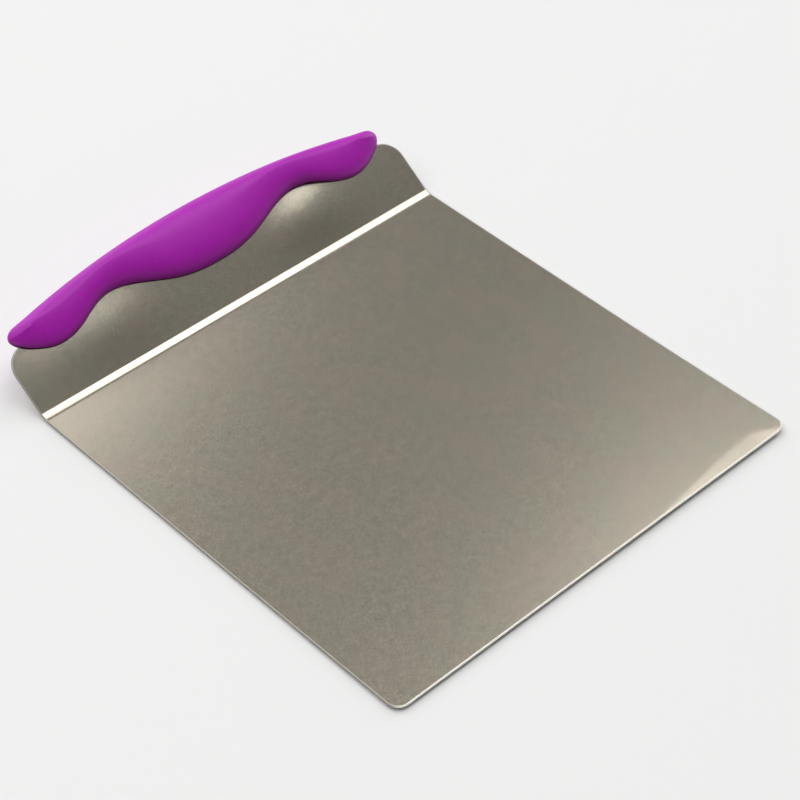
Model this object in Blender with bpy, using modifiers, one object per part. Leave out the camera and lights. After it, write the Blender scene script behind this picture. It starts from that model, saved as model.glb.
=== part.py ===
"""Cake lifter: a bent stainless steel blade with a two-shell moulded handle along its raised rear edge.

Metres, +Z up. X runs across the blade along the bend, the leading edge faces -Y and the handle +Y.
The blade's underside lies on z = 0, and the middle of the whole lifter stands above the origin.

The handle is modelled in its own frame, which lies on the front face of the flange: its x runs across the
blade, its y up the slope from the line where plate and flange would cross, and its z out of the front face.
"""

import math

import bmesh
import bpy
import numpy as np
from mathutils import Matrix

# Blade: one sheet, cut as a flat blank and folded once
SHEET_THICKNESS = 0.0010
PLATE_WIDTH = 0.2550
PLATE_LENGTH = 0.2460
LEADING_CORNER_RADIUS = 0.0065
BEND_INNER_RADIUS = 0.0060
FLANGE_ANGLE = math.radians(35.0)
FLANGE_CORNER_RADIUS = 0.0120
TOP_EDGE_INSET = 0.0085
EDGE_BREAK = 0.0002
CORNER_ANGLE = math.radians(60.0)

# Handle: outline of both shells
HANDLE_BACK_HEIGHT = 0.0575
HANDLE_DEPTH = 0.0339
HANDLE_END_INSET = 0.0073
BACK_ARC_RADIUS = 0.5400

# Handle: moulded section, each height counted from the parting plane
CROWN_HEIGHT_MIDDLE = 0.0078
CROWN_HEIGHT_END = 0.0062
CREST_END_INSET = 0.0120
CREST_MIDDLE_SHARE = 0.50
CREST_END_SHARE = 0.73
CREST_TURN_SHARES = (0.05, 0.65)
ACROSS_POWER_MIDDLE = 2.4
ACROSS_POWER_END = 1.7
HEIGHT_POWER = 2.0
WALL = 0.0022
RIB_THICKNESS = 0.0014

# Handle: pins of the front shell, through the blade, in sockets of the rear shell
PIN_RADIUS = 0.0022
PIN_ENGAGEMENT = 0.0030
PIN_CHAMFER = 0.0005
PIN_EDGE_DISTANCE = 0.0058
SOCKET_END_GAP = 0.0005
BOSS_WALL = 0.0016

# Fits
CLEARANCE = 0.0003
OVERRUN = 0.0020
MERGE_DISTANCE = 0.000001

# Lower edge of the handle from the middle of the belly out to the tip and on to the back,
# as shares of half the length and, below the back's arc, of the depth
RIM_SHARES = (
    (0.000, 1.000),
    (0.100, 0.980),
    (0.200, 0.900),
    (0.284, 0.780),
    (0.367, 0.642),
    (0.434, 0.545),
    (0.497, 0.490),
    (0.559, 0.494),
    (0.626, 0.556),
    (0.684, 0.624),
    (0.743, 0.660),
    (0.801, 0.650),
    (0.860, 0.582),
    (0.918, 0.455),
    (0.961, 0.330),
    (0.990, 0.200),
    (1.000, 0.098),
    (0.992, 0.036),
    (0.974, 0.000),
    (0.943, -0.006),
    (0.900, 0.000),
    (0.840, 0.000),
)
PIN_SHARES = (0.267, 0.751)
RIB_SHARES = (0.0, 0.14, 0.40, 0.51, 0.62, 0.87)

# Facets
CHAIN_STEPS = 600
BACK_STEPS = 300
SHELL_STATIONS = 66
SHELL_RINGS = 8
CAVITY_STATIONS = 44
CAVITY_RINGS = 5
CORNER_STEPS = 8
TOP_STEPS = 24
BEND_STEPS = 6
HOLE_SIDES = 20
SHARP_ANGLE = math.radians(32.0)

HALF_LENGTH = PLATE_WIDTH / 2 - HANDLE_END_INSET
BEND_SETBACK = BEND_INNER_RADIUS * math.tan(FLANGE_ANGLE / 2)
BEND_DEVELOPED = BEND_INNER_RADIUS * FLANGE_ANGLE
PARTING_HEIGHT = -SHEET_THICKNESS / 2
FRONT = 1
REAR = -1


def clear_scene():
    """Remove every object, so that the model starts from an empty scene."""
    for item in list(bpy.data.objects):
        bpy.data.objects.remove(item, do_unlink=True)


def new_collection(name):
    """Return a new collection linked to the scene."""
    collection = bpy.data.collections.new(name)
    bpy.context.scene.collection.children.link(collection)
    return collection


def finish(name, color, metallic, roughness):
    """Return a Principled BSDF material of one colour."""
    material = bpy.data.materials.new(name)
    material.use_nodes = True
    shader = material.node_tree.nodes["Principled BSDF"]
    shader.inputs["Base Color"].default_value = (*color, 1.0)
    shader.inputs["Metallic"].default_value = metallic
    shader.inputs["Roughness"].default_value = roughness
    return material


def mesh_object(name, bm, collection, parent, smooth=False):
    """Turn a bmesh into an object in a collection, under a parent."""
    mesh = bpy.data.meshes.new(name)
    bm.to_mesh(mesh)
    bm.free()
    if smooth:
        mesh.shade_smooth()
        mesh.set_sharp_from_angle(angle=SHARP_ANGLE)
    item = bpy.data.objects.new(name, mesh)
    collection.objects.link(item)
    item.parent = parent
    return item


def make_cutter(item):
    """Show an object as a wire guide that isn't rendered."""
    item.hide_render = True
    item.display_type = "WIRE"
    return item


def boolean(target, tool, operation):
    """Give the target a Boolean with the tool."""
    modifier = target.modifiers.new(f"{operation.lower()}_{tool.name}", "BOOLEAN")
    modifier.object = tool
    modifier.operation = operation
    modifier.solver = "EXACT"


def empty(name, collection, parent=None):
    """Return an empty that carries other objects."""
    item = bpy.data.objects.new(name, None)
    collection.objects.link(item)
    item.parent = parent
    return item


def arc_points(centre, radius, start, end, steps):
    """Return points on an arc of a circle, both ends included."""
    angles = np.linspace(start, end, steps + 1)
    return np.stack((centre[0] + radius * np.cos(angles), centre[1] + radius * np.sin(angles)), axis=1)


def smooth_curve(points, count):
    """Return count points on a smooth curve through the given ones, by cubic Hermite spans.

    The knots are spaced by the square root of the chord, so close points make no loops.
    """
    chord = np.sqrt(np.linalg.norm(np.diff(points, axis=0), axis=1))
    knots = np.concatenate(([0.0], np.cumsum(chord)))
    slopes = np.gradient(points, knots, axis=0)
    at = np.linspace(0.0, knots[-1], count)
    span = np.clip(np.searchsorted(knots, at, side="right") - 1, 0, len(chord) - 1)
    share = ((at - knots[span]) / chord[span])[:, None]
    reach = chord[span][:, None]
    start_weight = (1 + 2 * share) * (1 - share) ** 2
    end_weight = share**2 * (3 - 2 * share)
    start_slope_weight = share * (1 - share) ** 2 * reach
    end_slope_weight = share**2 * (share - 1) * reach
    return (
        start_weight * points[span]
        + end_weight * points[span + 1]
        + start_slope_weight * slopes[span]
        + end_slope_weight * slopes[span + 1]
    )


def resample(curve, shares):
    """Return the curve's points at shares of its length."""
    run = np.concatenate(([0.0], np.cumsum(np.linalg.norm(np.diff(curve, axis=0), axis=1))))
    at = shares * run[-1]
    return np.stack([np.interp(at, run, curve[:, axis]) for axis in range(2)], axis=1)


def back_height(across):
    """Height up the slope of the arc along the handle's back."""
    return HANDLE_BACK_HEIGHT - BACK_ARC_RADIUS + np.sqrt(BACK_ARC_RADIUS**2 - across**2)


def handle_rim():
    """Return the lower and the upper edge of the handle's outline, each from the left tip to the right tip."""
    right = np.array(RIM_SHARES) * (HALF_LENGTH, HANDLE_DEPTH)
    left = right[:0:-1] * (-1, 1)
    chain = smooth_curve(np.concatenate((left, right)), CHAIN_STEPS + 1)
    left_tip = int(np.argmin(chain[:, 0]))
    right_tip = int(np.argmax(chain[:, 0]))
    across = np.linspace(chain[-1, 0], chain[0, 0], BACK_STEPS + 1)[1:-1]
    back = np.stack((across, np.zeros_like(across)), axis=1)
    lower = chain[left_tip : right_tip + 1]
    upper = np.concatenate((chain[right_tip:], back, chain[: left_tip + 1]))[::-1]
    edges = []
    for edge in (lower, upper):
        edges.append(np.stack((edge[:, 0], back_height(edge[:, 0]) - edge[:, 1]), axis=1))
    return edges


def station_shares(count):
    """Shares of the handle's length, closer together towards its tips."""
    even = np.linspace(0.0, 1.0, count + 1)
    eased = (1 - np.cos(math.pi * even)) / 2
    return (even + eased) / 2


def inset_rim(lower, upper, distance):
    """Move both edges of an outline inwards, square to it."""
    loop = np.concatenate((lower, upper[-2:0:-1]))
    along = np.roll(loop, -1, axis=0) - np.roll(loop, 1, axis=0)
    along /= np.linalg.norm(along, axis=1)[:, None]
    inwards = np.stack((-along[:, 1], along[:, 0]), axis=1)
    moved = loop + distance * inwards
    count = len(lower)
    moved_upper = np.concatenate((moved[:1], moved[count:][::-1], moved[count - 1 : count]))
    return moved[:count], moved_upper


def between(way, middle, end):
    """Value that goes from the middle's to the end's by the square of the share of the way there."""
    return middle + (end - middle) * way**2


def crest_shares(way):
    """Share of the width below the crest, which climbs from mid-width towards the back on its way to the tips."""
    start, end = CREST_TURN_SHARES
    turned = np.clip((way - start) / (end - start), 0.0, 1.0)
    return CREST_MIDDLE_SHARE + (CREST_END_SHARE - CREST_MIDDLE_SHARE) * turned**2 * (3 - 2 * turned)


def crown_mesh(lower, upper, rings, side, lowered=0.0, skirt=0.0):
    """Loft a crowned body over an outline that lies in the parting plane.

    Each station runs from the lower edge over the crest to the upper edge as a superellipse, whose power
    across falls towards the tips, so that the round crown of the middle turns into a ridge. The crest stops
    short of both tips, where the two flanks of a station meet and close the end. A skirt carries the walls
    on past the parting plane.
    """
    way = np.abs(lower[:, 0] + upper[:, 0]) / 2 / HALF_LENGTH
    heights = between(way, CROWN_HEIGHT_MIDDLE, CROWN_HEIGHT_END) - lowered
    powers = between(way, ACROSS_POWER_MIDDLE, ACROSS_POWER_END)
    crest = lower + crest_shares(way)[:, None] * (upper - lower)
    crest[:, 0] *= 1 - CREST_END_INSET / HALF_LENGTH
    angles = np.linspace(0.0, math.pi, 2 * rings + 1)
    reach = np.abs(np.cos(angles))[None, :] ** (2 / powers[:, None])
    rise = np.sin(angles).clip(0.0, 1.0) ** (2 / HEIGHT_POWER)
    edge = np.where((angles < math.pi / 2)[None, :, None], lower[:, None, :], upper[:, None, :])
    flat = crest[:, None, :] + (edge - crest[:, None, :]) * reach[:, :, None]
    height = PARTING_HEIGHT + side * (CLEARANCE / 2 + heights[:, None] * rise[None, :])
    grid = np.concatenate((flat, height[:, :, None]), axis=2)
    if skirt:
        ends = grid[:, (0, -1), :].copy()
        ends[:, :, 2] -= side * skirt
        grid = np.concatenate((ends[:, :1], grid, ends[:, 1:]), axis=1)

    bm = bmesh.new()
    verts = [[bm.verts.new(point) for point in station] for station in grid]
    for here, there in zip(verts, verts[1:]):
        for j in range(len(here) - 1):
            bm.faces.new((here[j], there[j], there[j + 1], here[j + 1]))
    bmesh.ops.remove_doubles(bm, verts=bm.verts, dist=MERGE_DISTANCE)
    bmesh.ops.dissolve_degenerate(bm, edges=bm.edges, dist=MERGE_DISTANCE)
    bmesh.ops.holes_fill(bm, edges=[edge for edge in bm.edges if edge.is_boundary])
    bmesh.ops.triangulate(bm, faces=bm.faces)
    bmesh.ops.recalc_face_normals(bm, faces=bm.faces)
    return bm


def cylinder(radius, low, high, place):
    """Return a bmesh cylinder that stands on the handle's frame at a place."""
    bm = bmesh.new()
    middle = Matrix.Translation((place[0], place[1], (low + high) / 2))
    bmesh.ops.create_cone(
        bm,
        cap_ends=True,
        segments=HOLE_SIDES,
        radius1=radius,
        radius2=radius,
        depth=high - low,
        matrix=middle,
    )
    return bm


def slab(size, place):
    """Return a bmesh box of a size about a place."""
    bm = bmesh.new()
    bmesh.ops.create_cube(bm, size=1.0, matrix=Matrix.Translation(place) @ Matrix.Diagonal((*size, 1.0)))
    return bm


def pin_places():
    """Centres of the pins, a set distance below the blade's top edge."""
    places = []
    for share in PIN_SHARES:
        for side in (-1, 1):
            across = side * share * HALF_LENGTH
            places.append((across, float(back_height(across)) - TOP_EDGE_INSET - PIN_EDGE_DISTANCE))
    return places


def rib_places():
    """Places of the cross ribs along the handle."""
    shares = {side * share for share in RIB_SHARES for side in (-1, 1)}
    return [share * HALF_LENGTH for share in sorted(shares)]


def flange_outline(grow):
    """Outline of the flange in the handle's frame from its right side over the top edge to its left side.

    The top edge is an arc about the same centre as the handle's back, and a fillet joins it to each side.
    """
    arc_centre = HANDLE_BACK_HEIGHT - BACK_ARC_RADIUS
    top_radius = BACK_ARC_RADIUS - TOP_EDGE_INSET + grow
    corner_radius = FLANGE_CORNER_RADIUS + grow
    corner_across = PLATE_WIDTH / 2 - FLANGE_CORNER_RADIUS
    corner_height = arc_centre + math.sqrt((top_radius - corner_radius) ** 2 - corner_across**2)
    turn = math.atan2(corner_height - arc_centre, corner_across)
    right = arc_points((corner_across, corner_height), corner_radius, 0.0, turn, CORNER_STEPS)
    top = arc_points((0.0, arc_centre), top_radius, turn, math.pi - turn, TOP_STEPS)[1:-1]
    left = right[::-1] * (-1, 1)
    return np.concatenate((right, top, left))


def blank_outline():
    """Outline of the flat blank: across the blade, and along it from the start of the bend."""
    across = PLATE_WIDTH / 2 - LEADING_CORNER_RADIUS
    along = LEADING_CORNER_RADIUS - PLATE_LENGTH
    right = arc_points((across, along), LEADING_CORNER_RADIUS, -math.pi / 2, 0.0, CORNER_STEPS)
    left = arc_points((-across, along), LEADING_CORNER_RADIUS, math.pi, 3 * math.pi / 2, CORNER_STEPS)
    flange = flange_outline(0.0) + (0.0, BEND_DEVELOPED - BEND_SETBACK)
    return np.concatenate((right, flange, left))


def fold(across, along):
    """Place of a point of the blank's top face once the sheet is bent."""
    if along <= 0.0:
        return across, along, SHEET_THICKNESS
    angle = min(along / BEND_INNER_RADIUS, FLANGE_ANGLE)
    past = max(along - BEND_DEVELOPED, 0.0)
    return (
        across,
        BEND_INNER_RADIUS * math.sin(angle) + past * math.cos(FLANGE_ANGLE),
        SHEET_THICKNESS + BEND_INNER_RADIUS * (1 - math.cos(angle)) + past * math.sin(FLANGE_ANGLE),
    )


def build_blade(parts, cutters, lifter, handle_frame):
    """Cut the blank, bend it, give it its thickness and broken edges, and pierce it for the pins."""
    bm = bmesh.new()
    bm.faces.new([bm.verts.new((*point, 0.0)) for point in blank_outline()])
    for step in range(BEND_STEPS + 1):
        along = BEND_DEVELOPED * step / BEND_STEPS
        geometry = list(bm.verts) + list(bm.edges) + list(bm.faces)
        bmesh.ops.bisect_plane(bm, geom=geometry, dist=MERGE_DISTANCE, plane_co=(0, along, 0), plane_no=(0, 1, 0))
    for vert in bm.verts:
        vert.co = fold(vert.co.x, vert.co.y)
    blade = mesh_object("blade", bm, parts, lifter)
    blade.data.materials.append(finish("satin_steel", (0.55, 0.50, 0.41), 1.0, 0.24))

    solidify = blade.modifiers.new("sheet", "SOLIDIFY")
    solidify.thickness = SHEET_THICKNESS
    solidify.offset = -1.0
    solidify.use_even_offset = True
    bevel = blade.modifiers.new("broken_edges", "BEVEL")
    bevel.width = EDGE_BREAK
    bevel.segments = 1
    bevel.limit_method = "ANGLE"
    bevel.angle_limit = CORNER_ANGLE

    for number, place in enumerate(pin_places(), start=1):
        bm = cylinder(PIN_RADIUS + CLEARANCE, -SHEET_THICKNESS - OVERRUN, OVERRUN, place)
        hole = mesh_object(f"pin_hole_{number}", bm, cutters, handle_frame)
        boolean(blade, make_cutter(hole), "DIFFERENCE")
    return blade


def build_cavity(side, label, cutters, handle_frame):
    """Make the hollow of one shell as a cutter, with its cross ribs and bosses left standing."""
    lower, upper = (resample(edge, station_shares(CAVITY_STATIONS)) for edge in handle_rim())
    lower, upper = inset_rim(lower, upper, WALL)
    bm = crown_mesh(lower, upper, CAVITY_RINGS, side, lowered=WALL, skirt=OVERRUN)
    cavity = make_cutter(mesh_object(f"{label}_cavity", bm, cutters, handle_frame))

    span = 2 * (HANDLE_DEPTH + OVERRUN)
    rise = 2 * (CROWN_HEIGHT_MIDDLE + OVERRUN)
    for number, across in enumerate(rib_places(), start=1):
        height = HANDLE_BACK_HEIGHT - HANDLE_DEPTH / 2
        bm = slab((RIB_THICKNESS, span, rise), (across, height, PARTING_HEIGHT))
        rib = mesh_object(f"{label}_rib_{number}", bm, cutters, handle_frame)
        boolean(cavity, make_cutter(rib), "DIFFERENCE")
    boss_radius = PIN_RADIUS + CLEARANCE + BOSS_WALL
    for number, place in enumerate(pin_places(), start=1):
        bm = cylinder(boss_radius, PARTING_HEIGHT - rise / 2, PARTING_HEIGHT + rise / 2, place)
        boss = mesh_object(f"{label}_boss_{number}", bm, cutters, handle_frame)
        boolean(cavity, make_cutter(boss), "DIFFERENCE")
    return cavity


def build_sheet_pocket(side, label, cutters, handle_frame):
    """Make the recess in one shell that the blade's edge lies in, a clearance larger than the sheet."""
    outline = flange_outline(CLEARANCE)
    low = -SHEET_THICKNESS - CLEARANCE if side == REAR else PARTING_HEIGHT - OVERRUN
    high = CLEARANCE if side == FRONT else PARTING_HEIGHT + OVERRUN
    bottom = [(outline[-1, 0], 0.0), (outline[0, 0], 0.0)]
    bm = bmesh.new()
    floor = bm.faces.new([bm.verts.new((*point, low)) for point in [*outline, *bottom]])
    wall = bmesh.ops.extrude_face_region(bm, geom=[floor])
    raised = [item for item in wall["geom"] if isinstance(item, bmesh.types.BMVert)]
    bmesh.ops.translate(bm, verts=raised, vec=(0, 0, high - low))
    bmesh.ops.recalc_face_normals(bm, faces=bm.faces)
    return make_cutter(mesh_object(f"{label}_sheet_pocket", bm, cutters, handle_frame))


def build_shell(side, label, color, parts, cutters, handle_frame):
    """Mould one half of the handle: crown, hollow with ribs and bosses, and the seat on the sheet."""
    lower, upper = (resample(edge, station_shares(SHELL_STATIONS)) for edge in handle_rim())
    bm = crown_mesh(lower, upper, SHELL_RINGS, side)
    shell = mesh_object(f"handle_{label}_shell", bm, parts, handle_frame, smooth=True)
    shell.data.materials.append(finish(f"purple_{label}", color, 0.0, 0.42))
    boolean(shell, build_cavity(side, label, cutters, handle_frame), "DIFFERENCE")
    boolean(shell, build_sheet_pocket(side, label, cutters, handle_frame), "DIFFERENCE")
    return shell


def add_pins(shell, cutters, handle_frame):
    """Stand a pin on each boss of the front shell, long enough to reach into the rear shell's socket."""
    tip = -SHEET_THICKNESS - CLEARANCE - PIN_ENGAGEMENT
    for number, place in enumerate(pin_places(), start=1):
        pin = mesh_object(f"pin_{number}", cylinder(PIN_RADIUS, tip, WALL, place), cutters, handle_frame)
        chamfer = pin.modifiers.new("lead_in", "BEVEL")
        chamfer.width = PIN_CHAMFER
        chamfer.segments = 1
        chamfer.limit_method = "ANGLE"
        chamfer.angle_limit = CORNER_ANGLE
        boolean(shell, make_cutter(pin), "UNION")


def sink_sockets(shell, cutters, handle_frame):
    """Bore a blind socket for each pin in the rear shell's bosses."""
    floor = -SHEET_THICKNESS - CLEARANCE - PIN_ENGAGEMENT - SOCKET_END_GAP
    for number, place in enumerate(pin_places(), start=1):
        bm = cylinder(PIN_RADIUS + CLEARANCE, floor, OVERRUN, place)
        socket = mesh_object(f"socket_{number}", bm, cutters, handle_frame)
        boolean(shell, make_cutter(socket), "DIFFERENCE")


def centre_over_origin(lifter, parts):
    """Slide the whole lifter along Y until the middle of its length stands above the origin."""
    bpy.context.view_layer.update()
    depsgraph = bpy.context.evaluated_depsgraph_get()
    reach = []
    for item in parts.objects:
        if item.type == "MESH":
            solid = item.evaluated_get(depsgraph)
            reach.extend((solid.matrix_world @ vert.co).y for vert in solid.data.vertices)
    lifter.location.y = -(min(reach) + max(reach)) / 2
    bpy.context.view_layer.update()


def main():
    """Build the blade, then the handle around its raised edge."""
    clear_scene()
    parts = new_collection("cake_lifter")
    cutters = new_collection("cutters")
    lifter = empty("lifter", parts)
    handle_frame = empty("handle_frame", parts, lifter)
    handle_frame.location = (0.0, BEND_SETBACK, SHEET_THICKNESS)
    handle_frame.rotation_euler = (FLANGE_ANGLE, 0.0, 0.0)

    build_blade(parts, cutters, lifter, handle_frame)
    front = build_shell(FRONT, "front", (0.46, 0.012, 0.48), parts, cutters, handle_frame)
    rear = build_shell(REAR, "rear", (0.44, 0.011, 0.46), parts, cutters, handle_frame)
    add_pins(front, cutters, handle_frame)
    sink_sockets(rear, cutters, handle_frame)
    centre_over_origin(lifter, parts)


main()
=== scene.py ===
"""Looks of the cake lifter: a satin steel blade and a two-shell purple handle, lying in a pale studio.

Metres, +Z up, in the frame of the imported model: X runs across the blade along its bend, the leading edge
faces -Y and the handle +Y, and the plate's underside lies on z = 0.
"""

import logging
import math
from dataclasses import dataclass
from enum import Enum, IntEnum
from typing import Any

import bmesh
import bpy
import numpy as np
from mathutils import Matrix, Vector


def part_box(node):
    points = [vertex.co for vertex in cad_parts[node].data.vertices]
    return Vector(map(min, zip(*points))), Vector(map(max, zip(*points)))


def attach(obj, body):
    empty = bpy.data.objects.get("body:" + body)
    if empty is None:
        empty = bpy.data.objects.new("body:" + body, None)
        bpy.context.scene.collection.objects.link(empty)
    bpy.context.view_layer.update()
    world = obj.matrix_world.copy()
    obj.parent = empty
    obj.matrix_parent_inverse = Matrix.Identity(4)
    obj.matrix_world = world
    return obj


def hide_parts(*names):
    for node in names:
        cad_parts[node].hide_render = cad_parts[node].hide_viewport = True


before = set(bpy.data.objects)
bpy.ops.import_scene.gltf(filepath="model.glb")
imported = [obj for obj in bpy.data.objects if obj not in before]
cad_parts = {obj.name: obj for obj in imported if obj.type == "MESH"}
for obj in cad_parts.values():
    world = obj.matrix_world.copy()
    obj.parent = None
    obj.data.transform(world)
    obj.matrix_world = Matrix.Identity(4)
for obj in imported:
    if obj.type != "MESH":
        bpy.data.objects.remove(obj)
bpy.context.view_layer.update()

LOG = logging.getLogger("cake_lifter")
BODY = "root"
IMAGE_PIXELS = 800
MERGE_DISTANCE = 1e-6
Points = np.ndarray
Socket = bpy.types.NodeSocket


class Side(IntEnum):
    """The two halves of the handle, by the side of the blade that they lie on."""

    FRONT = 1
    REAR = -1


class Slot(Enum):
    """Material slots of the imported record."""

    STEEL = "satin_steel"
    PLASTIC = "purple_plastic"


# Meshes


def grid_quads(rows: int, columns: int, start: int = 0, turned: bool = False) -> Points:
    """Quads of a grid whose vertices are numbered row by row.

    Args:
        rows: Number of vertex rows.
        columns: Number of vertices in a row.
        start: Number of the grid's first vertex.
        turned: True to wind the quads the other way.

    Returns:
        One line of four vertex numbers for each quad.
    """
    corner = start + np.arange(rows - 1)[:, None] * columns + np.arange(columns - 1)[None, :]
    quads = np.stack((corner, corner + 1, corner + columns + 1, corner + columns), axis=-1).reshape(-1, 4)
    return quads[:, ::-1] if turned else quads


def border(rows: int, columns: int) -> Points:
    """Numbers of a grid's border vertices, once round: first row, last column, last row and first column."""
    number = np.arange(rows * columns).reshape(rows, columns)
    return np.concatenate((number[0], number[1:, -1], number[-1, -2::-1], number[-2:0:-1, 0]))


def ring_quads(here: Points, there: Points) -> Points:
    """Quads between two closed rings of as many vertices."""
    return np.stack((here, there, np.roll(there, -1), np.roll(here, -1)), axis=1)


def outward_of(loop: Points) -> Points:
    """Unit vectors out of a closed outline that runs counterclockwise.

    Each is square to the line through the point's two neighbours.

    Args:
        loop: Points of the outline, one on each line.

    Returns:
        One unit vector for each point.
    """
    run = np.roll(loop, -1, axis=0) - np.roll(loop, 1, axis=0)
    run /= np.linalg.norm(run, axis=1)[:, None]
    return np.stack((run[:, 1], -run[:, 0]), axis=1)


def smoothstep(value: Points, low: float, high: float) -> Points:
    """0 below low, 1 above high, and between them three times the square less twice the cube."""
    share = np.clip((value - low) / (high - low), 0.0, 1.0)
    return share * share * (3.0 - 2.0 * share)


def smooth_curve(points: Points, count: int) -> Points:
    """Points on a smooth curve through the given ones.

    Between two given points the curve is the cubic with their places and slopes as its ends. The knots are
    spaced by the square root of the chord, so close points make no loops.

    Args:
        points: Points in the plane, one on each line.
        count: Number of points wanted.

    Returns:
        The curve's points.
    """
    chord = np.sqrt(np.linalg.norm(np.diff(points, axis=0), axis=1))
    knots = np.concatenate(([0.0], np.cumsum(chord)))
    slopes = np.gradient(points, knots, axis=0)
    at = np.linspace(0.0, knots[-1], count)
    span = np.clip(np.searchsorted(knots, at, side="right") - 1, 0, len(chord) - 1)
    share = ((at - knots[span]) / chord[span])[:, None]
    reach = chord[span][:, None]
    return (
        (1 + 2 * share) * (1 - share) ** 2 * points[span]
        + share**2 * (3 - 2 * share) * points[span + 1]
        + share * (1 - share) ** 2 * reach * slopes[span]
        + share**2 * (share - 1) * reach * slopes[span + 1]
    )


def resample(curve: Points, shares: Points) -> Points:
    """The curve's points at shares of its length."""
    run = np.concatenate(([0.0], np.cumsum(np.linalg.norm(np.diff(curve, axis=0), axis=1))))
    return np.stack([np.interp(shares * run[-1], run, curve[:, axis]) for axis in range(2)], axis=1)


def make_mesh(name: str, points: Points, quads: Points, uv: Points | None = None) -> bpy.types.Mesh:
    """Put whole arrays of vertices and quads into a new mesh.

    Args:
        name: Name of the mesh.
        points: Vertex places, one on each line.
        quads: Vertex numbers, four on each line.
        uv: Place of each vertex on the flat sheet, for the map called blank.

    Returns:
        The mesh.
    """
    mesh = bpy.data.meshes.new(name)
    mesh.vertices.add(len(points))
    mesh.vertices.foreach_set("co", points.astype(np.float32).ravel())
    mesh.loops.add(quads.size)
    mesh.loops.foreach_set("vertex_index", quads.astype(np.int32).ravel())
    mesh.polygons.add(len(quads))
    mesh.polygons.foreach_set("loop_start", np.arange(0, quads.size, 4, dtype=np.int32))
    mesh.update(calc_edges=True)
    if uv is not None:
        layer = mesh.uv_layers.new(name="blank")
        layer.data.foreach_set("uv", uv[quads.ravel()].astype(np.float32).ravel())
    return mesh


def set_values(mesh: bpy.types.Mesh, name: str, values: Points) -> None:
    """Keep one number for each vertex, under a name that a finish reads."""
    mesh.attributes.new(name, "FLOAT", "POINT").data.foreach_set("value", values.astype(np.float32))


def close_seams(mesh: bpy.types.Mesh) -> None:
    """Merge the vertices that lie on each other, and turn every face outwards.

    Args:
        mesh: Mesh to close, which is changed in place.
    """
    bm = bmesh.new()
    bm.from_mesh(mesh)
    bmesh.ops.remove_doubles(bm, verts=bm.verts, dist=MERGE_DISTANCE)
    bmesh.ops.recalc_face_normals(bm, faces=bm.faces)
    bm.to_mesh(mesh)
    bm.free()


def make_piece(mesh: bpy.types.Mesh, material: bpy.types.Material, node: str) -> bpy.types.Object:
    """Stand a mesh in for a CAD node, riding on the lifter's one body.

    Args:
        mesh: Finished mesh, already in place.
        material: Finish of the whole piece.
        node: CAD node that the piece replaces.

    Returns:
        The piece's object.
    """
    piece = bpy.data.objects.new(mesh.name, mesh)
    bpy.context.scene.collection.objects.link(piece)
    mesh.materials.append(material)
    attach(piece, BODY)
    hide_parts(node)
    return piece


# Finishes


class Sketch:
    """A node tree, drawn node by node."""

    def __init__(self, tree: bpy.types.NodeTree) -> None:
        """Start from an empty tree."""
        self.tree = tree
        tree.nodes.clear()

    def add(self, kind: str, inputs: dict[str | int, Any] | None = None, **settings: Any) -> bpy.types.Node:
        """Add one node.

        Args:
            kind: Blender's name of the node type.
            inputs: Value or incoming socket for each input that isn't left as it is.
            **settings: Properties of the node.

        Returns:
            The node.
        """
        node = self.tree.nodes.new(kind)
        for name, value in settings.items():
            setattr(node, name, value)
        for name, value in (inputs or {}).items():
            if isinstance(value, bpy.types.NodeSocket):
                self.tree.links.new(value, node.inputs[name])
            else:
                node.inputs[name].default_value = value
        return node

    def math(self, operation: str, first: Socket | float, second: Socket | float = 0.0) -> Socket:
        """Result of one sum on two numbers."""
        return self.add("ShaderNodeMath", {0: first, 1: second}, operation=operation).outputs[0]

    def swing(self, value: Socket, middle: float, reach: float) -> Socket:
        """Number that swings by reach to each side of its middle as the value goes from 0 to 1."""
        inputs = {0: value, 1: 2 * reach, 2: middle - reach}
        return self.add("ShaderNodeMath", inputs, operation="MULTIPLY_ADD").outputs[0]

    def ramp(self, value: Socket, low: float, high: float, start: float = 0.0, end: float = 1.0) -> Socket:
        """Smooth step from start to end as the value goes from low to high."""
        ends = {"Value": value, "From Min": low, "From Max": high, "To Min": start, "To Max": end}
        return self.add("ShaderNodeMapRange", ends, interpolation_type="SMOOTHSTEP").outputs[0]

    def noise(self, place: Socket, size: tuple[float, float, float], detail: float = 2.0) -> Socket:
        """Soft noise, read at a place that is divided by the sizes of its grains.

        Args:
            place: Place of the point that is coloured.
            size: Size of a grain along each axis of the place, in metres.
            detail: Number of finer layers in the noise.

        Returns:
            The noise, from 0 to 1.
        """
        scale = tuple(1.0 / length for length in size)
        stretched = self.add("ShaderNodeVectorMath", {0: place, 1: scale}, operation="MULTIPLY").outputs[0]
        inputs = {"Vector": stretched, "Scale": 1.0, "Detail": detail}
        return self.add("ShaderNodeTexNoise", inputs).outputs[0]

    def mix(self, share: Socket, first: Any, second: Any) -> Socket:
        """Colour that goes from the first to the second as the share goes from 0 to 1."""
        return self.add("ShaderNodeMix", {0: share, 6: first, 7: second}, data_type="RGBA").outputs[2]

    def blend(self, share: Socket | float, first: Socket | float, second: Socket | float) -> Socket:
        """Number that goes from the first to the second as the share goes from 0 to 1."""
        return self.add("ShaderNodeMix", {0: share, 2: first, 3: second}).outputs[0]

    def attribute(self, name: str) -> Socket:
        """Number that the mesh keeps for each vertex under a name."""
        return self.add("ShaderNodeAttribute", attribute_name=name).outputs["Fac"]

    def scaled(self, color: Socket, factor: Socket) -> Socket:
        """Colour with each channel multiplied by a number."""
        return self.add("ShaderNodeVectorMath", {0: color, "Scale": factor}, operation="SCALE").outputs[0]


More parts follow.
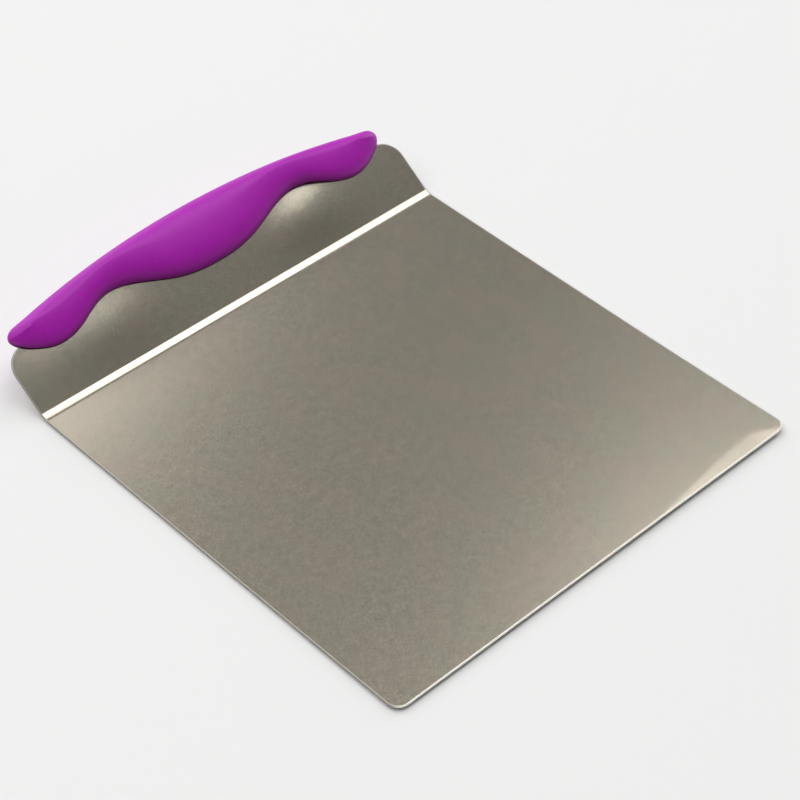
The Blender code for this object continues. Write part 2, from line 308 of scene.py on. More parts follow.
@dataclass(frozen=True)
class SatinSteel:
    """Rolled stainless steel with a fine grain along the blade, mapped on the flat blank.

    The grain is noise drawn out along the sheet, with some coarser mottle in it. It moves the tone and the
    roughness. Longer furrows give the bump, and a broad cloud turns the colour between a warm and a cool
    grey. The cut faces are sheared and dull. Those that face forward, along the ground leading edge, are near
    white: partly the ground steel, partly a painted highlight.
    """

    name: str = "satin_steel"
    warm: tuple[float, float, float] = (0.590, 0.527, 0.433)
    cool: tuple[float, float, float] = (0.566, 0.530, 0.430)
    # Near-white colour of the forward-facing cut faces: ground steel, brightened into a painted highlight.
    ground: tuple[float, float, float] = (0.950, 0.940, 0.900)
    sheared: tuple[float, float, float] = (0.420, 0.400, 0.370)
    roughness: float = 0.22
    anisotropy: float = 0.50
    edge_roughness: float = 0.70
    grain: tuple[float, float, float] = (0.00060, 0.0017, 1.0)
    furrow: tuple[float, float, float] = (0.00060, 0.0060, 1.0)
    mottle: tuple[float, float, float] = (0.0040, 0.0050, 1.0)
    cloud: tuple[float, float, float] = (0.020, 0.030, 1.0)
    cloud_band: tuple[float, float] = (0.35, 0.65)
    furrow_depth: float = 0.0000090
    mottle_share: float = 0.26
    tone_swing: float = 0.155
    roughness_swing: float = 0.07

    def material(self) -> bpy.types.Material:
        """Make the finish.

        Returns:
            The steel as a new material.
        """
        material = bpy.data.materials.new(self.name)
        material.use_nodes = True
        sketch = Sketch(material.node_tree)
        place = sketch.add("ShaderNodeUVMap", uv_map="blank").outputs[0]
        furrow = sketch.noise(place, self.furrow)
        grain = sketch.noise(place, self.grain, detail=1.0)
        mottle = sketch.noise(place, self.mottle, detail=1.0)
        mottled = sketch.blend(self.mottle_share, grain, mottle)
        cloud = sketch.ramp(sketch.noise(place, self.cloud, detail=1.0), *self.cloud_band)
        edge = sketch.attribute("edge")

        rolled = sketch.mix(cloud, (*self.warm, 1.0), (*self.cool, 1.0))
        rolled = sketch.scaled(rolled, sketch.swing(mottled, 1.0, self.tone_swing))
        # The forward-facing cut faces take the near-white colour, partly ground steel and partly a painted
        # highlight.
        cut = sketch.mix(sketch.attribute("ground"), (*self.sheared, 1.0), (*self.ground, 1.0))
        color = sketch.mix(edge, rolled, cut)
        roughness = sketch.swing(mottled, self.roughness, self.roughness_swing)
        roughness = sketch.blend(edge, roughness, self.edge_roughness)
        bump = sketch.add("ShaderNodeBump", {"Height": furrow, "Distance": self.furrow_depth})
        tangent = sketch.add("ShaderNodeTangent", direction_type="UV_MAP", uv_map="blank")
        shader = sketch.add(
            "ShaderNodeBsdfPrincipled",
            {
                "Base Color": color,
                "Metallic": 1.0,
                "Roughness": roughness,
                "Anisotropic": self.anisotropy,
                "Normal": bump.outputs[0],
                "Tangent": tangent.outputs[0],
            },
        )
        sketch.add("ShaderNodeOutputMaterial", {"Surface": shader.outputs[0]})
        return material


@dataclass(frozen=True)
class MouldedPlastic:
    """Satin purple plastic, with the fine orange peel of a spark-finished mould and sparse dark specks.

    Painted shade darkens its colour towards the shell's lower rim, where it meets the steel, and over the
    whole inner crown.
    """

    name: str = "purple_plastic"
    deep: tuple[float, float, float] = (0.44, 0.010, 0.46)
    bright: tuple[float, float, float] = (0.48, 0.014, 0.50)
    specular: float = 0.35
    roughness: float = 0.42
    roughness_swing: float = 0.05
    peel: tuple[float, float, float] = (0.0005, 0.0005, 0.0005)
    peel_depth: float = 0.0000060
    cloud: tuple[float, float, float] = (0.012, 0.012, 0.012)
    speck: tuple[float, float, float] = (0.0012, 0.0012, 0.0012)
    speck_share: float = 0.76
    speck_softness: float = 0.05
    speck_tone: float = 0.72
    # Share of the colour that the painted shade leaves at the rim.
    painted_rim_shade: float = 0.22

    def material(self) -> bpy.types.Material:
        """Make the finish.

        Returns:
            The plastic as a new material.
        """
        material = bpy.data.materials.new(self.name)
        material.use_nodes = True
        sketch = Sketch(material.node_tree)
        place = sketch.add("ShaderNodeTexCoord").outputs["Object"]
        peel = sketch.noise(place, self.peel)
        cloud = sketch.noise(place, self.cloud)
        speck = sketch.noise(place, self.speck, detail=0.0)

        color = sketch.mix(cloud, (*self.deep, 1.0), (*self.bright, 1.0))
        full_speck = self.speck_share + self.speck_softness
        speck_tone = sketch.ramp(speck, self.speck_share, full_speck, 1.0, self.speck_tone)
        # Painted shade: the colour darkens by the rim attribute, towards the lower rim and inside the shell.
        painted_rim_shade = sketch.ramp(sketch.attribute("rim"), 0.0, 1.0, 1.0, self.painted_rim_shade)
        color = sketch.scaled(color, sketch.math("MULTIPLY", speck_tone, painted_rim_shade))
        roughness = sketch.swing(cloud, self.roughness, self.roughness_swing)
        bump = sketch.add("ShaderNodeBump", {"Height": peel, "Distance": self.peel_depth})
        shader = sketch.add(
            "ShaderNodeBsdfPrincipled",
            {
                "Base Color": color,
                "Roughness": roughness,
                "Specular IOR Level": self.specular,
                "Normal": bump.outputs[0],
            },
        )
        sketch.add("ShaderNodeOutputMaterial", {"Surface": shader.outputs[0]})
        return material


# Blade


@dataclass(frozen=True)
class Swell:
    """A shallow bell-shaped rise of the flange, or a dent where its height is below zero.

    Its middle is placed in the handle's frame.
    """

    across: float
    along: float
    half_across: float
    half_along: float
    height: float

    def rise(self, across: Points, along: Points) -> Points:
        """Its height, times e to the minus square of the distance from its middle in half widths.

        Args:
            across: How far across each point lies, in the handle's frame.
            along: How far up the slope each point lies.

        Returns:
            Rise of each point.
        """
        squared = ((across - self.across) / self.half_across) ** 2
        squared = squared + ((along - self.along) / self.half_along) ** 2
        return self.height * np.exp(-squared)


@dataclass
class Blade:
    """One steel sheet: a flat plate, a bend and a sloping flange.

    A point of it is given on the flat blank, by how far across it lies and how far along from the start of
    the bend, and by its depth below the upper face. Folding takes it to its place. Each of bend_turns is a
    length along the blank, counted from a point in the bend, and the slope there in degrees.
    """

    node: str = "blade"
    thickness: float = 0.0010
    plate_length: float = 0.2460
    leading_corner: float = 0.0065
    bend_radius: float = 0.0060
    bend_turns: tuple[tuple[float, float], ...] = (
        (-0.00180, 0.0),
        (-0.00160, 4.5),
        (-0.00090, 4.5),
        (-0.00055, 12.0),
        (0.00265, 20.0),
        (0.00325, 35.0),
    )
    flange_corner: float = 0.0120
    top_height: float = 0.0490
    top_radius: float = 0.5315
    edge_round: float = 0.0002
    edge_band: float = 0.0005
    nose_lift_left: float = 0.0006
    nose_lift_right: float = 0.0014
    roll_across: tuple[float, float] = (0.020, 0.110)
    roll_corner: tuple[float, float] = (0.108, 0.128)
    roll_corner_share: float = 0.9
    roll_reach: float = 0.0080
    roll_slope: float = 0.027
    roll_softness: float = 0.0006
    grind_reach: float = 0.0006
    grind_slope: float = 0.21
    # Band of facing that sets the near-white cut faces, partly ground steel and partly a painted highlight.
    ground_and_highlight_facing: tuple[float, float] = (0.3, 0.8)
    path_steps: int = 400
    columns: int = 161
    corner_rows: int = 10
    plate_rows: int = 180
    rows_between_turns: int = 6
    flange_rows: int = 26
    round_steps: int = 3
    swells: tuple[Swell, ...] = (
        Swell(-0.070, 0.0205, 0.029, 0.0150, 0.00058),
        Swell(-0.066, 0.0450, 0.026, 0.0150, -0.00056),
        Swell(-0.114, 0.0420, 0.022, 0.0150, -0.00052),
        Swell(0.060, 0.0210, 0.026, 0.0150, 0.00122),
        Swell(0.061, 0.0450, 0.025, 0.0145, -0.00140),
        Swell(0.113, 0.0540, 0.021, 0.0180, -0.00070),
    )

    def __post_init__(self) -> None:
        """Read the sheet's reach from the frame, and work out what follows from its sizes."""
        low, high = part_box(self.node)
        self.half_width = high.x
        self.bend_start = low.y + self.plate_length
        self.bend_angle = math.radians(self.bend_turns[-1][1])
        self.setback = self.bend_radius * math.tan(self.bend_angle / 2)
        self.arc_centre = self.top_height - self.top_radius
        self.edge_inset = self.edge_round + self.edge_band
        self.path = self.bend_path()
        self.bend_end = self.path[0, -1]
        self.slope_shift = self.bend_end - self.path[3, -1] / math.sin(self.bend_angle)

    def bend_path(self) -> Points:
        """Side view of the upper face round the bend: a slight rise, then a slow turn between two sharp ones.

        The slope goes evenly from turn to turn. The path is the running sum of its cosine and sine, and it is
        moved along the plate until the flange lies in its true plane.

        Returns:
            Four lines: length along the blank, angle, way along the plate and height above it.
        """
        turns = np.array(self.bend_turns)
        run = np.linspace(turns[0, 0], turns[-1, 0], self.path_steps + 1)
        angle = np.radians(np.interp(run, turns[:, 0], turns[:, 1]))
        middle = (angle[1:] + angle[:-1]) / 2
        step = np.diff(run)
        way = run[0] + np.concatenate(([0.0], np.cumsum(step * np.cos(middle))))
        height = np.concatenate(([0.0], np.cumsum(step * np.sin(middle))))
        shift = self.setback - (way[-1] - height[-1] / math.tan(self.bend_angle))
        return np.stack((run + shift, angle, way + shift, height))

    def handle_frame(self) -> Matrix:
        """Frame on the flange's upper face: x across, y up the slope from the plate's plane, z out of it."""
        crossing = Matrix.Translation((0.0, self.bend_start + self.setback, self.thickness))
        return crossing @ Matrix.Rotation(self.bend_angle, 4, "X")

    def corner_middle(self) -> tuple[float, float]:
        """Middle of the fillet between the flange's right side and its top edge.

        It lies one fillet radius in from the side, and as much inside the top arc.

        Returns:
            How far across it lies and how far up the slope, in the handle's frame.
        """
        across = self.half_width - self.flange_corner
        reach = self.top_radius - self.flange_corner
        return across, self.arc_centre + math.sqrt(reach**2 - across**2)

    def top_edge(self, across: Points) -> Points:
        """Upper edge of the flange: the top arc, and past its end the fillet's arc.

        Args:
            across: Places across the sheet.

        Returns:
            Height of the edge up the slope at each place.
        """
        middle_across, middle_height = self.corner_middle()
        arc = self.arc_centre + np.sqrt(self.top_radius**2 - across**2)
        past = np.clip(np.abs(across) - middle_across, 0.0, self.flange_corner)
        fillet = middle_height + np.sqrt(self.flange_corner**2 - past**2)
        return np.minimum(arc, fillet)

    def row_ends(self) -> tuple[Points, Points, Points]:
        """Right-hand end of each row of the blank's grid, from the leading edge to the top edge.

        Returns:
            How far across and along each end lies, and the share of the top arc's curve in its row.
        """
        turn = np.linspace(-math.pi / 2, 0.0, self.corner_rows + 1)
        leading_across = self.half_width - self.leading_corner + self.leading_corner * np.cos(turn)
        leading_along = self.leading_corner - self.plate_length + self.leading_corner * np.sin(turn)
        plate = np.linspace(leading_along[-1], self.path[0, 0], self.plate_rows + 1)[1:]
        turns = np.array(self.bend_turns)[:, 0] - self.bend_turns[0][0] + self.path[0, 0]
        steps = np.arange(1, self.rows_between_turns * (len(turns) - 1) + 1) / self.rows_between_turns
        bend = np.interp(steps, np.arange(len(turns)), turns)
        middle_across, middle_height = self.corner_middle()
        shift = self.slope_shift
        flange = np.linspace(self.bend_end, middle_height + shift, self.flange_rows + 1)[1:]
        last_turn = math.atan2(middle_height - self.arc_centre, middle_across)
        turn = np.linspace(0.0, last_turn, self.corner_rows + 1)[1:]
        fillet_across = middle_across + self.flange_corner * np.cos(turn)
        fillet_along = middle_height + shift + self.flange_corner * np.sin(turn)

        straight = np.full(len(plate) + len(bend) + len(flange), self.half_width)
        across = np.concatenate((leading_across, straight, fillet_across))
        along = np.concatenate((leading_along, plate, bend, flange, fillet_along))
        return across, along, smoothstep(along, self.bend_end, middle_height + shift)

    def blank(self) -> Points:
        """Grid over the flat blank: each row is a line that takes on the top edge's arc up the flange.

        Returns:
            How far across and along each grid point lies, by row and column.
        """
        end_across, end_along, arc_share = self.row_ends()
        across = np.linspace(-1.0, 1.0, self.columns)[None, :] * end_across[:, None]
        centre = self.arc_centre + self.slope_shift
        reach = np.hypot(end_across, end_along - centre)[:, None]
        arch = np.sqrt(reach**2 - across**2) - np.sqrt(reach**2 - end_across[:, None] ** 2)
        along = end_along[:, None] + arc_share[:, None] * arch
        return np.stack((across, along), axis=-1)

    def rise(self, across: Points, along: Points) -> Points:
        """How far the sheet stands out of its true form, square to its upper face.

        The front half of the plate lifts off the table, by the square of the share of the way to its leading
        edge, and more at its right corner than at its left. The swells add to it, and the rolled stretch of
        the leading edge takes from it.

        Args:
            across: How far across the blank each point lies.
            along: How far along it each point lies.

        Returns:
            Height of each point over the true form.
        """
        way = np.clip(-along / self.plate_length * 2.0 - 1.0, 0.0, None)
        side = (across / self.half_width + 1.0) / 2.0
        lift = (self.nose_lift_left + (self.nose_lift_right - self.nose_lift_left) * side) * way**2
        for swell in self.swells:
            lift = lift + swell.rise(across, along - self.slope_shift)
        return lift - self.nose_roll(across, along)

    def nose_roll(self, across: Points, along: Points) -> Points:
        """How far the leading edge rolls down near its right corner: an even slope past a curved crease.

        With the distance d past the crease it is the slope times half the sum of d and the root of d squared
        and the softness squared, which is smooth across the crease.

        Args:
            across: How far across the blank each point lies.
            along: How far along it each point lies.

        Returns:
            Depth of the roll at each point.
        """
        reach = smoothstep(across, *self.roll_across)
        reach = reach - smoothstep(across, *self.roll_corner) * self.roll_corner_share
        inside = self.roll_reach * reach - (along + self.plate_length)
        return self.roll_slope * (np.sqrt(inside**2 + self.roll_softness**2) + inside) / 2

    def fold(self, flat: Points, depth: Points) -> Points:
        """Place of points of the blank once the sheet is bent.

        Each is a point of the side view, and the depth square to it. At the leading edge the upper face is
        ground down by an even slope, which the lower face doesn't follow.

        Args:
            flat: How far across and along each point lies, one on each line.
            depth: Depth of each point below the upper face.

        Returns:
            Places of the points.
        """
        across, along = flat[:, 0], flat[:, 1]
        ground = self.grind_slope * np.clip(self.grind_reach - along - self.plate_length, 0.0, None)
        depth = depth + ground * (1.0 - depth / self.thickness) - self.rise(across, along)
        run, angles, way, height = self.path
        angle = np.interp(along, run, angles)
        before, past = np.minimum(along - run[0], 0.0), np.maximum(along - run[-1], 0.0)
        forward = np.interp(along, run, way) + before + past * np.cos(angle) + depth * np.sin(angle)
        up = np.interp(along, run, height) + past * np.sin(angle) - depth * np.cos(angle)
        return np.stack((across, self.bend_start + forward, self.thickness + up), axis=1)

    def crowd(self, grid: Points) -> Points:
        """Draw the rows of the blank's grid in from both ends, to leave room along the cut edge.

        Args:
            grid: How far across and along each grid point lies.

        Returns:
            The grid with its rows moved, each by less the further it lies from the end.
        """
        along = grid[:, :, 1]
        first = np.clip(1.0 - (along + self.plate_length) / self.leading_corner, 0.0, 1.0)
        last = np.clip(1.0 - (along[-1] - along) / self.flange_corner, 0.0, 1.0)
        return np.stack((grid[:, :, 0], along + self.edge_inset * (first - last)), axis=-1)

    def rim_profile(self) -> tuple[Points, Points]:
        """Quarter rounds at both edges of the cut side.

        Returns:
            Outward offset and depth of the profile's points, from top to bottom.
        """
        turn = np.linspace(0.0, math.pi / 2, self.round_steps + 1)
        inset = -self.edge_round * (1 - np.sin(turn))
        depth = self.edge_round * (1 - np.cos(turn))
        return np.concatenate((inset, inset[::-1])), np.concatenate((depth, self.thickness - depth[::-1]))

    def build(self, finish: SatinSteel) -> bpy.types.Object:
        """Make the sheet as one closed surface: upper grid, rings round the cut edge and lower grid.

        Args:
            finish: Finish of the steel.

        Returns:
            The blade's object.
        """
        grid = self.blank()
        rows, columns = grid.shape[:2]
        loop = border(rows, columns)
        outline = grid.reshape(-1, 2)[loop]
        outward = outward_of(outline)
        face = self.crowd(grid).reshape(-1, 2)
        face[loop] = outline - outward * self.edge_inset

        offsets, drops = self.rim_profile()
        rings = [outline + outward * offset for offset in offsets]
        unrolled = [outline + outward * (offset + drop) for offset, drop in zip(offsets, drops)]
        depth = (np.zeros(len(face)), np.repeat(drops, len(loop)), np.full(len(face), self.thickness))
        points = self.fold(np.concatenate((face, *rings, face)), np.concatenate(depth))
        uv = np.concatenate((face, *unrolled, face))

        lower = len(face) + len(offsets) * len(loop)
        ring_numbers = np.arange(len(face), lower).reshape(len(offsets), len(loop))
        numbers = [loop, *ring_numbers, lower + loop]
        quads = [grid_quads(rows, columns), grid_quads(rows, columns, lower, turned=True)]
        quads.extend(ring_quads(here, there) for here, there in zip(numbers, numbers[1:]))

        mesh = make_mesh("steel_blade", points, np.concatenate(quads), uv)
        edge = np.zeros(len(points))
        edge[len(face) : lower] = 1.0
        set_values(mesh, "edge", edge)
        # Cut faces that face forward get the near-white colour: partly the ground edge, partly a painted
        # highlight.
        ground = np.zeros(len(points))
        ground[len(face) : lower] = np.tile(smoothstep(-outward[:, 1], *self.ground_and_highlight_facing), len(offsets))
        set_values(mesh, "ground", ground)
        mesh.shade_smooth()
        return make_piece(mesh, finish.material(), self.node)


# Handle


@dataclass
class HandleShell:
    """One moulded half of the handle: a hollow crown over the handle's outline, seated on the sheet.

    In the handle's frame x runs across, y up the slope and z out of the flange's upper face. Each of
    rim_shares is a point of the lower edge's right half: how far across it lies as a share of half the
    handle's length, and how far below the back as a share of its depth.
    """

    side: Side
    blade: Blade
    back_height: float = 0.05749
    depth: float = 0.0339
    end_inset: float = 0.0073
    back_radius: float = 0.5400
    crown_middle: float = 0.0078
    crown_end: float = 0.0062
    crest_end_inset: float = 0.0120
    crest_share_middle: float = 0.50
    crest_share_end: float = 0.73
    crest_turn_shares: tuple[float, float] = (0.05, 0.65)
    across_power_middle: float = 2.4
    across_power_end: float = 1.7
    height_power: float = 2.0
    wall: float = 0.0022
    clearance: float = 0.0003
    step_length: float = 0.0008
    stations: int = 260
    chain_steps_per_station: int = 4
    outer_rings: int = 52
    inner_rings: int = 12
    # Lengths over which the painted shade at the lower rim fades.
    rim_fades: tuple[float, float] = (0.0050, 0.0012)
    undercut: float = 0.0010
    sharp_angle: float = math.radians(40.0)
    rim_shares: tuple[tuple[float, float], ...] = (
        (0.000, 1.000),
        (0.100, 0.980),
        (0.200, 0.900),
        (0.284, 0.780),
        (0.367, 0.642),
        (0.434, 0.545),
        (0.497, 0.490),
        (0.559, 0.494),
        (0.626, 0.556),
        (0.684, 0.624),
        (0.743, 0.660),
        (0.801, 0.650),
        (0.860, 0.582),
        (0.918, 0.455),
        (0.961, 0.330),
        (0.990, 0.200),
        (1.000, 0.098),
        (0.992, 0.036),
        (0.974, 0.000),
        (0.943, -0.006),
        (0.900, 0.000),
        (0.840, 0.000),
    )

    def __post_init__(self) -> None:
        """Work out what follows from the shell's sizes and the sheet's."""
        self.half_length = self.blade.half_width - self.end_inset
        self.parting = -self.blade.thickness / 2
        self.node = f"handle_{self.side.name.lower()}_shell"

    def edges(self) -> tuple[Points, Points]:
        """Lower and upper edge of the outline.

        The lower edge is a smooth curve through points given as shares, mirrored about the middle. The back
        is an arc, and every height is counted down from it. Both edges get as many points, which crowd
        together towards the tips.

        Returns:
            Points of the lower edge and of the upper edge, from the left tip to the right tip.
        """
        right = np.array(self.rim_shares) * (self.half_length, self.depth)
        chain_count = self.chain_steps_per_station * self.stations + 1
        chain = smooth_curve(np.concatenate((right[:0:-1] * (-1, 1), right)), chain_count)
        left_tip, right_tip = int(np.argmin(chain[:, 0])), int(np.argmax(chain[:, 0]))
        across = np.linspace(chain[-1, 0], chain[0, 0], self.stations)[1:-1]
        back = np.stack((across, np.zeros_like(across)), axis=1)
        lower = chain[left_tip : right_tip + 1]
        upper = np.concatenate((chain[right_tip:], back, chain[: left_tip + 1]))[::-1]
        even = np.linspace(0.0, 1.0, self.stations + 1)
        shares = (even + (1 - np.cos(math.pi * even)) / 2) / 2
        arc = self.back_height - self.back_radius
        found = []
        for edge in (lower, upper):
            height = arc + np.sqrt(self.back_radius**2 - edge[:, 0] ** 2) - edge[:, 1]
            found.append(resample(np.stack((edge[:, 0], height), axis=1), shares))
        return found[0], found[1]

    @staticmethod
    def inset(lower: Points, upper: Points, distance: float) -> tuple[Points, Points]:
        """Move both edges inwards, square to the outline.

        Args:
            lower: Lower edge of the outline.
            upper: Upper edge of the outline.
            distance: How far they move.

        Returns:
            The moved lower edge and the moved upper edge.
        """
        loop = np.concatenate((lower, upper[-2:0:-1]))
        moved = loop - distance * outward_of(loop)
        count = len(lower)
        return moved[:count], np.concatenate((moved[:1], moved[count:][::-1], moved[count - 1 : count]))

    def seat(self, edge: Points) -> Points:
        """Height of the rim above the parting plane, out of the shell's side.

        It is clear of the sheet's face where the outline lies over it, and half a clearance past its edge.

        Args:
            edge: Points of the outline's lower or upper edge.

        Returns:
            Height of the rim at each point.
        """
        inside = self.blade.top_edge(edge[:, 0]) + self.clearance - edge[:, 1]
        over = smoothstep(inside, -self.step_length / 2, self.step_length / 2)
        face = self.blade.thickness / 2 + self.clearance
        return self.clearance / 2 + (face - self.clearance / 2) * over

    @staticmethod
    def between(way: Points, middle: float, end: float) -> Points:
        """Value that goes from the middle's to the end's by the square of the share of the way there."""
        return middle + (end - middle) * way**2

    def crown(self, lower: Points, upper: Points, lowered: float, rings: int) -> Points:
        """Grid of a crown over an outline.

        A station runs from the lower edge over the crest to the upper edge. Its points lie on a superellipse:
        across the station they go by a power of the cosine of an angle, and up by another power of its sine,
        and the angle starts and ends where that height meets the rim. The first power makes the crest a soft
        swell in the middle and a ridge at the ends. The crest stops short of both tips.

        Args:
            lower: Lower edge of the outline.
            upper: Upper edge of the outline.
            lowered: How far the crest lies below the outer one.
            rings: Number of steps across a station.

        Returns:
            Places in the handle's frame, by station and ring.
        """
        way = (lower[:, 0] + upper[:, 0]) / 2 / self.half_length
        turned = smoothstep(np.abs(way), *self.crest_turn_shares)
        crest_share = self.crest_share_middle + (self.crest_share_end - self.crest_share_middle) * turned
        height = self.between(way, self.crown_middle, self.crown_end) - lowered
        across_power = self.between(way, self.across_power_middle, self.across_power_end)
        crest = lower + crest_share[:, None] * (upper - lower)
        crest[:, 0] *= 1 - self.crest_end_inset / self.half_length
        power = 2 / self.height_power
        rims = [(self.seat(edge) - self.clearance / 2) / height for edge in (lower, upper)]
        start = [np.arcsin(rim ** (1 / power)) for rim in rims]
        step = np.linspace(0.0, 1.0, rings + 1)[None, :]
        angle = start[0][:, None] * (1 - step) + (math.pi - start[1][:, None]) * step
        reach = np.abs(np.cos(angle)) ** (2 / across_power[:, None])
        over_low = (angle < math.pi / 2)[:, :, None]
        edge = np.where(over_low, lower[:, None, :], upper[:, None, :])
        flat = crest[:, None, :] + (edge - crest[:, None, :]) * reach[:, :, None]
        up = self.clearance / 2 + height[:, None] * np.sin(angle) ** power
        return np.concatenate((flat, (self.parting + self.side * up)[:, :, None]), axis=2)

    def rim_nearness(self, crown: Points) -> Points:
        """How near each point of a crown is to its lower rim, from 1 at the rim towards 0.

        It is the mean of two fades, and each is e to the minus length up the station over the fade's length.
        It sets the painted shade at the rim.

        Args:
            crown: Places of the crown's points, by station and ring.

        Returns:
            One number for each point, by station and ring.
        """
        steps = np.linalg.norm(np.diff(crown, axis=1), axis=2)
        run = np.concatenate((np.zeros((len(crown), 1)), np.cumsum(steps, axis=1)), axis=1)
        return sum(np.exp(-run / fade) for fade in self.rim_fades) / len(self.rim_fades)

    @staticmethod
    def rim_quads(outer: Points, inner: Points) -> list[Points]:
        """Quads that join an outer and an inner crown along their rims.

        Args:
            outer: Places of the outer crown's points, by station and ring.
            inner: Places of the inner crown's points, which are numbered after the outer crown's.

        Returns:
            One strip along the lower rims and one along the upper.
        """
        row = np.arange(outer.shape[0])
        start = outer.shape[0] * outer.shape[1]
        strips = []
        for column in (0, -1):
            here = row * outer.shape[1] + column % outer.shape[1]
            there = start + row * inner.shape[1] + column % inner.shape[1]
            strip = np.stack((here[:-1], here[1:], there[1:], there[:-1]), axis=1)
            strips.append(strip if column else strip[:, ::-1])
        return strips

    def build(self, finish: MouldedPlastic) -> bpy.types.Object:
        """Make the shell as one closed surface: outer crown, rim and inner crown.

        The outer crown's last points on both edges are drawn in, which undercuts the rim.

        Args:
            finish: Finish of the plastic.

        Returns:
            The shell's object.
        """
        lower, upper = self.edges()
        outer = self.crown(lower, upper, 0.0, self.outer_rings)
        inner = self.crown(*self.inset(lower, upper, self.wall), self.wall, self.inner_rings)
        outer[:, 0, :2], outer[:, -1, :2] = self.inset(lower, upper, self.undercut)
        inner_start = outer.shape[0] * outer.shape[1]
        quads = [grid_quads(*outer.shape[:2]), grid_quads(*inner.shape[:2], inner_start, turned=True)]
        quads.extend(self.rim_quads(outer, inner))

        points = np.concatenate((outer.reshape(-1, 3), inner.reshape(-1, 3)))
        turn = np.array(self.blade.handle_frame())
        points = points @ turn[:3, :3].T + turn[:3, 3]
        mesh = make_mesh(f"purple_{self.side.name.lower()}_shell", points, np.concatenate(quads))
        # Painted shade: the outer crown darkens towards its lower rim, and the inner crown is fully darkened.
        inner_full_shade = np.ones(inner.shape[0] * inner.shape[1])
        set_values(mesh, "rim", np.concatenate((self.rim_nearness(outer).ravel(), inner_full_shade)))
        close_seams(mesh)
        mesh.shade_smooth()
        mesh.set_sharp_from_angle(angle=self.sharp_angle)
        return make_piece(mesh, finish.material(), self.node)


# Studio


@dataclass(frozen=True)
class Softbox:
    """A square-edged soft lamp of the room, large and far from the object.

    Its strength is its radiance, which times pi and its area gives its power. Its spin is a turn in its own
    plane.
    """

    name: str
    centre: tuple[float, float, float]
    facing: tuple[float, float, float]
    width: float
    height: float
    radiance: float
    spin: float = 0.0

    def build(self) -> None:
        """Put the lamp in the scene, with its width along X before it is spun in its own plane."""
        lamp = bpy.data.lights.new(self.name, "AREA")
        lamp.shape = "RECTANGLE"
        lamp.size = self.width
        lamp.size_y = self.height
        lamp.energy = self.radiance * math.pi * self.width * self.height
        item = bpy.data.objects.new(self.name, lamp)
        bpy.context.scene.collection.objects.link(item)
        turn = (-Vector(self.facing)).to_track_quat("Z", "Y").to_matrix().to_4x4()
        item.matrix_world = Matrix.Translation(self.centre) @ turn @ Matrix.Rotation(self.spin, 4, "Z")
        item.visible_camera = False


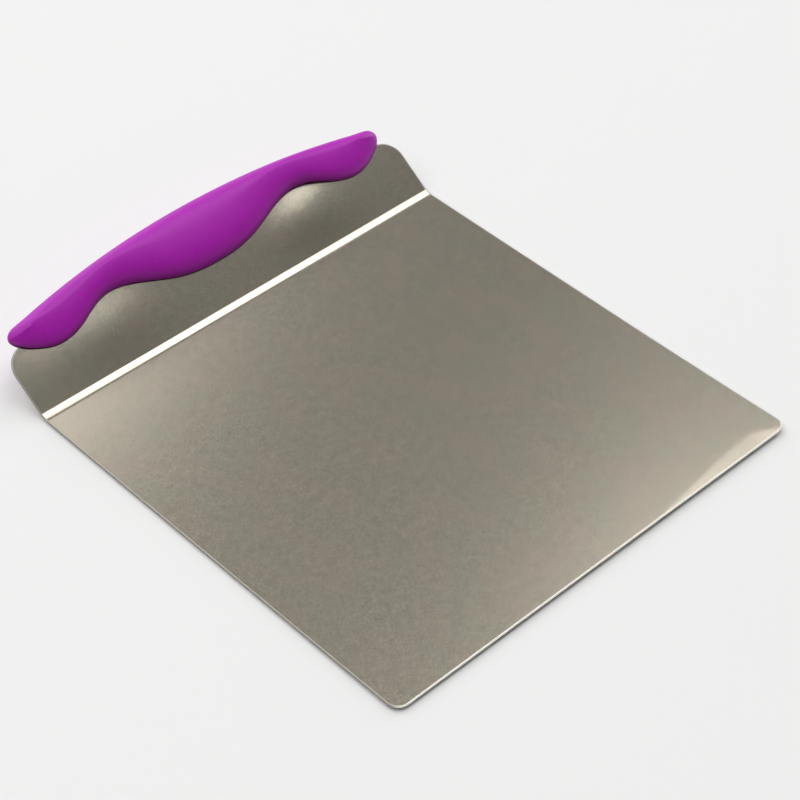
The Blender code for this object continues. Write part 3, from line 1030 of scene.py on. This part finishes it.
@dataclass
class Studio:
    """Pale floor, soft light and the camera."""

    floor_size: float = 12.0
    floor_drop: float = 0.0010
    floor_color: tuple[float, float, float] = (0.885, 0.885, 0.880)
    horizon: float = 0.87
    ceiling: float = 0.265
    horizon_top: float = 0.01
    ceiling_start: float = 0.12
    side_share: float = 0.45
    side_band: tuple[float, float] = (-0.95, -0.1)
    camera_azimuth: float = math.radians(-43.238)
    camera_elevation: float = math.radians(43.236)
    camera_distance: float = 1.13995
    aim_across: float = 0.00571
    aim_from_leading_edge: float = 0.14014
    aim_height: float = 0.0010
    focal_pixels: float = 2358.8
    sensor_width: float = 36.0
    lamps: tuple[Softbox, ...] = (
        Softbox(
            name="overhead",
            centre=(3.09, 0.69, 6.0),
            facing=(0.0, 0.0, -1.0),
            width=6.42,
            height=2.68,
            radiance=2.24,
            spin=math.radians(42.0),
        ),
        Softbox(
            name="ceiling",
            centre=(-3.1, 2.4, 6.0),
            facing=(0.0, 0.0, -1.0),
            width=9.0,
            height=8.8,
            radiance=1.4,
        ),
        Softbox(
            name="back_window",
            centre=(1.06, 7.8, 5.38),
            facing=(0.0, -1.0, 0.0),
            width=8.81,
            height=6.42,
            radiance=1.61,
        ),
        Softbox(
            name="right_window",
            centre=(15.0, 1.0, 6.0),
            facing=(-1.0, 0.0, 0.0),
            width=6.0,
            height=12.0,
            radiance=2.65,
        ),
    )

    def build(self) -> None:
        """Make the whole studio."""
        bpy.context.scene.view_settings.view_transform = "Standard"
        self.build_floor()
        self.build_world()
        for lamp in self.lamps:
            lamp.build()
        self.build_camera()

    def build_floor(self) -> None:
        """Lay a pale matt floor that is clear as seen from below, so that the underside can be looked at."""
        half = self.floor_size / 2
        corners = np.array([(-half, -half), (half, -half), (half, half), (-half, half)])
        points = np.column_stack((corners, np.full(4, -self.floor_drop)))
        mesh = make_mesh("studio_floor", points, np.array([[0, 1, 2, 3]]))
        material = bpy.data.materials.new("studio_floor")
        material.use_nodes = True
        sketch = Sketch(material.node_tree)
        matt = sketch.add("ShaderNodeBsdfDiffuse", {"Color": (*self.floor_color, 1.0)})
        clear = sketch.add("ShaderNodeBsdfTransparent")
        below = sketch.add("ShaderNodeNewGeometry").outputs["Backfacing"]
        either = sketch.add("ShaderNodeMixShader", {0: below, 1: matt.outputs[0], 2: clear.outputs[0]})
        sketch.add("ShaderNodeOutputMaterial", {"Surface": either.outputs[0]})
        mesh.materials.append(material)
        floor = bpy.data.objects.new("studio_floor", mesh)
        bpy.context.scene.collection.objects.link(floor)

    def build_world(self) -> None:
        """Surround the scene with light, pale at the horizon and dimmer overhead, left and in front."""
        world = bpy.data.worlds.new("studio")
        world.use_nodes = True
        sketch = Sketch(world.node_tree)
        way = sketch.add("ShaderNodeTexCoord").outputs["Generated"]
        right, back, up = sketch.add("ShaderNodeSeparateXYZ", {0: way}).outputs
        level = sketch.math("ABSOLUTE", up)
        strength = sketch.ramp(level, self.horizon_top, self.ceiling_start, self.horizon, self.ceiling)
        for side in (right, back):
            share = sketch.ramp(side, *self.side_band, self.side_share, 1.0)
            strength = sketch.math("MULTIPLY", strength, share)
        glow = sketch.add("ShaderNodeBackground", {"Color": (1.0, 1.0, 1.0, 1.0), "Strength": strength})
        sketch.add("ShaderNodeOutputWorld", {"Surface": glow.outputs[0]})
        bpy.context.scene.world = world

    def build_camera(self) -> None:
        """Set the camera at the photograph's angle, aimed at a point on the plate."""
        turn, rise = self.camera_azimuth, self.camera_elevation
        back = Vector((math.sin(turn) * math.cos(rise), -math.cos(turn) * math.cos(rise), math.sin(rise)))
        leading_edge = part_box("blade")[0].y
        aim = Vector((self.aim_across, leading_edge + self.aim_from_leading_edge, self.aim_height))
        data = bpy.data.cameras.new("camera")
        data.sensor_width = self.sensor_width
        data.lens = self.focal_pixels / IMAGE_PIXELS * self.sensor_width
        camera = bpy.data.objects.new("camera", data)
        bpy.context.scene.collection.objects.link(camera)
        camera.location = aim + back * self.camera_distance
        camera.rotation_euler = (-back).to_track_quat("-Z", "Y").to_euler()
        bpy.context.scene.camera = camera


def main() -> None:
    """Build the studio and the lifter."""
    logging.basicConfig(level=logging.INFO, format="%(name)s: %(message)s")
    Studio().build()
    blade = Blade()
    plastic = MouldedPlastic()
    pieces = [blade.build(SatinSteel())]
    pieces.extend(HandleShell(side, blade).build(plastic) for side in Side)


if __name__ == "__main__":
    main()
